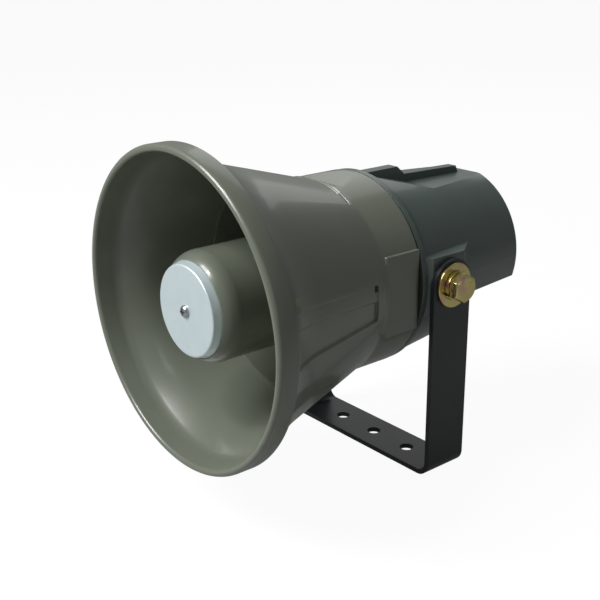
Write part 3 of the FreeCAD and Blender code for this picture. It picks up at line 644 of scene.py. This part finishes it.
FLARE_START = (10.0, 74.4)
FLARE_END = (32.0, 63.4)
FLARE_SAG = 1.15
CONE_END = (80.0, 49.7)
INNER_FLARE_START = (12.0, 69.6)
INNER_FLARE_END = (32.0, 61.0)
INNER_FLARE_SAG = 0.8
BELL_WALL = 2.4

COLLAR_RADIUS = 49.2
COLLAR_END = 105.5
COLLAR_HOLLOW = 45.6
COLLAR_HOLLOW_FLOOR = 94.4
COLLAR_FLAT = 46.6
COLLAR_FLAT_START = 84.5
COLLAR_FLAT_HALF_HEIGHT = 19.3
# The front and rear face of the bulkhead, and a radius on its front between hole and wall
BULKHEAD = (101.0, 104.5)
BULKHEAD_MIDDLE = 30.0
THROAT_HOLE = 11.65

CHANNEL_START = 12.5
STEP_SINK = 0.7
EDGE_WIDTH = 0.8
TOP_CHANNEL_END = 80.0
# Degrees to each side of the top, of the wide channel and of its deeper floor
TOP_EDGES = (32.5, 23.0)
SIDE_CHANNEL_END = 76.0
# Heights over the axis at the channel's front and rear end
SIDE_TOP = (15.7, 9.4)
SIDE_STEP = (9.3, 1.7)
SIDE_BOTTOM = (-6.8, -7.4)
# A drain slot's depths and heights
DRAIN_DEPTHS = (74.0, 76.0)
DRAIN_HEIGHTS = (6.6, 9.4)
DRAIN_EDGE = 0.4
DRAIN_SINK = 2.0
# The depths and heights of the rise from the channel's floor to the collar
RAMP = ((80.0, 48.3), (85.0, 46.87), (103.0, 49.2))
RAMP_HALF_ANGLE = 40

SCREW_CIRCLE = 34.5
POST_ANGLES = (45, 135, 225, 315)
POST_RADIUS = 4.6
POST_HOLE = 2.05
POST_END = 109.0

# Where the skin's rings and angles stand closer together: from, to and the distance between them
FINE_DEPTHS = (
    (12.0, 13.0, 0.2),
    (73.6, 76.5, 0.16),
    (79.5, 80.5, 0.16),
    (84.0, 86.0, 0.18),
    (102.0, 104.0, 0.3),
)
FINE_SIDE_ANGLES = (
    (-9.0, -4.9, 0.2),
    (1.4, 8.2, 0.2),
    (8.2, 13.6, 0.25),
    (22.2, 24.0, 0.2),
    (-24.0, -22.2, 0.2),
)
FINE_TOP_REACH = 0.8
FINE_TOP_STEP = 0.16
INNER_DEPTHS = (100.95, 95.0, 88.0, 80.0, 72.0, 64.0, 57.6, 50.0, 42.0, 36.0)


def eased(distance, width=EDGE_WIDTH):
    """0 outside an edge and 1 inside it, with a moulded radius between."""
    t = min(1.0, max(0.0, distance / width + 0.5))
    return t * t * (3 - 2 * t)


def between(value, low, high, width=EDGE_WIDTH):
    """1 between two edges and 0 beyond them."""
    return eased(value - low, width) * eased(high - value, width)


def hollow_arc(start, end, sag):
    """The radius of a hollow-sided arc at a depth between two points."""
    run, rise = end[0] - start[0], end[1] - start[1]
    chord = math.hypot(run, rise)
    curve = chord * chord / (8 * sag) + sag / 2
    from_chord = curve - sag
    cx = (start[0] + end[0]) / 2 - rise / chord * from_chord
    cy = (start[1] + end[1]) / 2 + run / chord * from_chord
    return lambda depth: cy - math.sqrt(curve * curve - (depth - cx) ** 2)


OUTER_FLARE = hollow_arc(FLARE_START, FLARE_END, FLARE_SAG)
INNER_FLARE = hollow_arc(INNER_FLARE_START, INNER_FLARE_END, INNER_FLARE_SAG)


def cone(depth):
    """The bell's outer radius without its lip, channels and collar."""
    if depth < FLARE_END[0]:
        return OUTER_FLARE(max(depth, FLARE_START[0]))
    run, rise = CONE_END[0] - FLARE_END[0], CONE_END[1] - FLARE_END[1]
    return FLARE_END[1] + rise * (depth - FLARE_END[0]) / run


def ramp_height(depth):
    """The collar's top, seen from the side: it rises evenly from the channel's floor."""
    for (d0, h0), (d1, h1) in zip(RAMP, RAMP[1:]):
        if depth <= d1:
            return h0 + (h1 - h0) * (depth - d0) / (d1 - d0)
    return COLLAR_RADIUS


def top_sink(depth, angle, radius):
    """How deep the channel over the top lies below the cone."""
    window = between(depth, CHANNEL_START, TOP_CHANNEL_END)
    from_top = abs(angle - 90.0)
    inside = [eased(math.radians(edge - from_top) * radius) for edge in TOP_EDGES]
    return sum(STEP_SINK * window * share for share in inside)


def side_edge(depth, heights):
    """The height of a side channel's slanting edge."""
    front, rear = heights
    return front + (rear - front) * (depth - CHANNEL_START) / (SIDE_CHANNEL_END - CHANNEL_START)


def side_sink(depth, height):
    """How deep a side channel and its drain slot lie below the cone."""
    window = between(depth, CHANNEL_START, SIDE_CHANNEL_END)
    over_bottom = eased(height - side_edge(depth, SIDE_BOTTOM))
    under_top = eased(side_edge(depth, SIDE_TOP) - height)
    under_step = eased(side_edge(depth, SIDE_STEP) - height)
    sink = STEP_SINK * window * over_bottom * (under_top + under_step)
    slot = between(depth, *DRAIN_DEPTHS, DRAIN_EDGE) * between(height, *DRAIN_HEIGHTS, DRAIN_EDGE)
    return max(sink, DRAIN_SINK * slot)


def bell_radius(depth, angle):
    """The bell's outer radius behind the lip."""
    a = math.radians(angle)
    radius = cone(depth)
    if depth > TOP_CHANNEL_END:
        radius = max(COLLAR_RADIUS, radius)
    height = radius * math.sin(a)
    flat = eased(depth - COLLAR_FLAT_START) * eased(COLLAR_FLAT_HALF_HEIGHT - abs(height))
    if flat:
        radius += (COLLAR_FLAT / abs(math.cos(a)) - radius) * flat
    radius -= top_sink(depth, angle, radius) + side_sink(depth, height) * (depth < TOP_CHANNEL_END)
    if depth > TOP_CHANNEL_END and abs(angle - 90.0) < RAMP_HALF_ANGLE:
        radius = min(radius, ramp_height(depth) / math.sin(a))
    return radius


def spaced(start, end, step, fine):
    """Places from start to end, closer together in the fine windows (from, to, step)."""
    places = set()
    for low, high, gap in ((start, end, step), *fine):
        count = math.ceil((high - low) / gap)
        places |= {round(low + (high - low) * k / count, 3) for k in range(count + 1)}
    return sorted(places)


def bell_angles():
    """Angles from the +X side up and round, close together where an edge runs."""
    windows = []
    for edge in TOP_EDGES:
        for middle in (90 - edge, 90 + edge):
            windows.append((middle - FINE_TOP_REACH, middle + FINE_TOP_REACH, FINE_TOP_STEP))
    for low, high, gap in FINE_SIDE_ANGLES:
        windows.append((low, high, gap))
        windows.append((180 - high, 180 - low, gap))
    angles = []
    for angle in spaced(-90.0, 270.0, 1.5, windows):
        if angle < 270.0 and (not angles or angle - angles[-1] > 0.05):
            angles.append(angle)
    return angles


def quarter_turns(count):
    """Angles from 0 to 90 degrees, in radians."""
    return [math.radians(90.0 * k / (count - 1)) for k in range(count)]


def bell_rows(angles):
    """Rings from the lip's nose back over the outside, and forward again through the inside.

    Each is a depth with one radius, or with a radius for every angle.
    """
    rows = []
    for a in quarter_turns(7):
        depth = LIP_ROUND * (1 - math.cos(a))
        rows.append((depth, MOUTH_RADIUS - LIP_ROUND * (1 - math.sin(a))))
    rows += LIP_BACK
    for depth in spaced(10.6, COLLAR_END - 0.4, 1.6, FINE_DEPTHS):
        rows.append((depth, [bell_radius(depth, angle) for angle in angles]))

    # The collar's rounded end, and the ring-shaped hollow inside it
    last = rows[-1][1]
    rows.append((COLLAR_END - 0.12, [r - 0.06 for r in last]))
    rows.append((COLLAR_END, [r - 0.3 for r in last]))
    rows.append((COLLAR_END, COLLAR_HOLLOW + 0.2))
    rows.append((COLLAR_END - 0.2, COLLAR_HOLLOW))
    rows.append((COLLAR_HOLLOW_FLOOR, COLLAR_HOLLOW))

    # The bulkhead, with its rounded rim and the throat's hole
    front, rear = BULKHEAD
    rows.append((rear - 0.3, cone(rear)))
    rows.append((rear, cone(rear) - 0.3))
    rows.append((rear, THROAT_HOLE + 0.2))
    rows.append((rear - 0.2, THROAT_HOLE))
    rows.append((front, THROAT_HOLE))
    rows.append((front, BULKHEAD_MIDDLE))

    # Forward along the inside to the lip
    for depth in INNER_DEPTHS:
        rows.append((depth, cone(depth) - BELL_WALL))
    inner_run = INNER_FLARE_START[0] - INNER_FLARE_END[0]
    for k in range(12):
        depth = INNER_FLARE_END[0] + inner_run * k / 11
        rows.append((depth, INNER_FLARE(depth)))
    rows += INNER_LIP
    for a in quarter_turns(7)[:-1]:
        depth = INNER_LIP_ROUND * (1 - math.sin(a))
        rows.append((depth, INNER_LIP_CENTRE - INNER_LIP_ROUND * math.cos(a)))
    return rows


def bell_skin():
    """The skin with its collar, flats, ramp and channels, and the posts behind the bulkhead."""
    angles = bell_angles()
    rows = bell_rows(angles)
    points = []
    for depth, radius in rows:
        for k, angle in enumerate(angles):
            r = radius[k] if isinstance(radius, list) else radius
            a = math.radians(angle)
            points.append((r * math.cos(a), depth - PIVOT_DEPTH, r * math.sin(a)))
    faces = grid_faces(len(rows), len(angles), closed_rows=True)

    # The posts start 1 mm behind the bulkhead's front, inside it, so that no gap shows
    foot = BULKHEAD[0] + 1
    post = (
        (foot, POST_RADIUS),
        (POST_END - 0.3, POST_RADIUS),
        (POST_END, POST_RADIUS - 0.3),
        (POST_END, POST_HOLE),
        (foot, POST_HOLE),
    )
    steps = 32
    post_faces = grid_faces(len(post), steps, closed_rows=True)
    for corner in POST_ANGLES:
        cx = SCREW_CIRCLE * math.cos(math.radians(corner))
        cz = SCREW_CIRCLE * math.sin(math.radians(corner))
        faces += shifted(post_faces, len(points))
        for depth, r in post:
            for k in range(steps):
                a = math.tau * k / steps
                points.append((cx + r * math.cos(a), depth - PIVOT_DEPTH, cz + r * math.sin(a)))
    piece = piece_from("bell_skin", points, faces, GREY_ABS, "horn")
    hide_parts("bell")


bell_skin()
pivot_hardware()
gland_dome()


# Floor, light and camera, in metres and degrees
# How much of the white surroundings shows in a mirror-like surface
MIRRORED = 0.16
# What the camera sees of the floor: a near white glow, and a little paint that takes the shadow
FLOOR_GLOW = 0.945
FLOOR_PAINT = 0.075
FLOOR_HALF = 6.0
FLOOR_DROP = 0.0002
BACKDROP_LEVEL = 0.98
ROOM_LEVEL = 0.095

# Name, direction from the horn, distance, size and power of each lamp
LAMPS = (
    ("key_above_mouth", (-0.22, -0.68, 0.70), 1.1, 0.55, 13.5),
    ("fill_right", (1.0, -0.05, 0.45), 1.5, 1.0, 1.1),
    ("small_window", (-0.07, -0.57, 0.82), 1.1, 0.1, 1.2),
    ("back_left", (-0.6, 0.8, 0.7), 1.5, 0.9, 2.0),
)
LAMP_AIM = (0, -0.03, 0.1)

VIEW_AZIMUTH = 50.7085
VIEW_ELEVATION = 19.6745
VIEW_ROLL = -0.5015
VIEW_TARGET_MM = (-62.60, 0.0, 61.075)
VIEW_DISTANCE_MM = 576.0
SENSOR_WIDTH = 36.0
LENS = 60.447


def stage_material(name, code):
    """A pale ground that reads near white to the camera and still takes a soft shadow."""
    material = bpy.data.materials.new(name)
    material.use_nodes = True
    tree = material.node_tree
    tree.nodes.clear()
    paper = add(tree, "ShaderNodeBsdfDiffuse", {"Color": ink(code)})
    paint = (FLOOR_PAINT, FLOOR_PAINT, FLOOR_PAINT, 1.0)
    seen = add(tree, "ShaderNodeBsdfDiffuse", {"Color": paint})
    glow = add(
        tree, "ShaderNodeEmission", {"Color": (1.0, 1.0, 1.0, 1.0), "Strength": FLOOR_GLOW}
    )
    both = add(tree, "ShaderNodeAddShader", {0: seen.outputs[0], 1: glow.outputs[0]})
    mix = add(
        tree,
        "ShaderNodeMixShader",
        {0: background_share(tree, MIRRORED), 1: paper.outputs[0], 2: both.outputs[0]},
    )
    add(tree, "ShaderNodeOutputMaterial", {"Surface": mix.outputs[0]})
    return material


def floor():
    mesh = bpy.data.meshes.new("floor")
    corners = ((-1, -1), (1, -1), (1, 1), (-1, 1))
    mesh.from_pydata([(x * FLOOR_HALF, y * FLOOR_HALF, 0) for x, y in corners], [], [(0, 1, 2, 3)])
    ground = bpy.data.objects.new("floor", mesh)
    ground.location.z = -FLOOR_DROP
    bpy.context.scene.collection.objects.link(ground)
    mesh.materials.append(stage_material("pale_paper_floor", "#9a9a98"))


def soft_box(name, direction, distance, size, power):
    """A square lamp that looks at the horn from a direction."""
    lamp = bpy.data.lights.new(name, "AREA")
    lamp.size = size
    lamp.energy = power
    aim = Vector(direction).normalized()
    holder = bpy.data.objects.new(name, lamp)
    holder.location = Vector(LAMP_AIM) + aim * distance
    holder.rotation_euler = aim.to_track_quat("Z", "Y").to_euler()
    bpy.context.scene.collection.objects.link(holder)


def room_light():
    """A dim even room round the horn, behind which the camera sees near white."""
    world = bpy.data.worlds.new("room")
    bpy.context.scene.world = world
    world.use_nodes = True
    tree = world.node_tree
    tree.nodes.clear()
    level = add(
        tree,
        "ShaderNodeMapRange",
        {
            "Value": background_share(tree, MIRRORED),
            "To Min": ROOM_LEVEL,
            "To Max": BACKDROP_LEVEL,
        },
    )
    sky = add(
        tree,
        "ShaderNodeBackground",
        {"Color": (1.0, 1.0, 1.0, 1.0), "Strength": level.outputs[0]},
    )
    add(tree, "ShaderNodeOutputWorld", {"Surface": sky.outputs[0]})


def camera():
    """Three-quarter view from the front right, a little above."""
    azimuth, elevation = math.radians(VIEW_AZIMUTH), math.radians(VIEW_ELEVATION)
    roll = math.radians(VIEW_ROLL)
    away = Vector(
        (
            math.sin(azimuth) * math.cos(elevation),
            -math.cos(azimuth) * math.cos(elevation),
            math.sin(elevation),
        )
    )
    level = Vector((math.cos(azimuth), math.sin(azimuth), 0))
    upright = away.cross(level)
    across = level * math.cos(roll) + upright * math.sin(roll)
    up = upright * math.cos(roll) - level * math.sin(roll)
    place = Matrix((across, up, away)).transposed().to_4x4()
    place.translation = Vector(VIEW_TARGET_MM) * MM + away * VIEW_DISTANCE_MM * MM
    data = bpy.data.cameras.new("camera")
    data.sensor_width = SENSOR_WIDTH
    data.lens = LENS
    data.clip_start = 0.01
    eye = bpy.data.objects.new("camera", data)
    eye.matrix_world = place
    bpy.context.scene.collection.objects.link(eye)
    bpy.context.scene.camera = eye


floor()
room_light()
for lamp in LAMPS:
    soft_box(*lamp)
camera()
bpy.context.scene.view_settings.view_transform = "Standard"
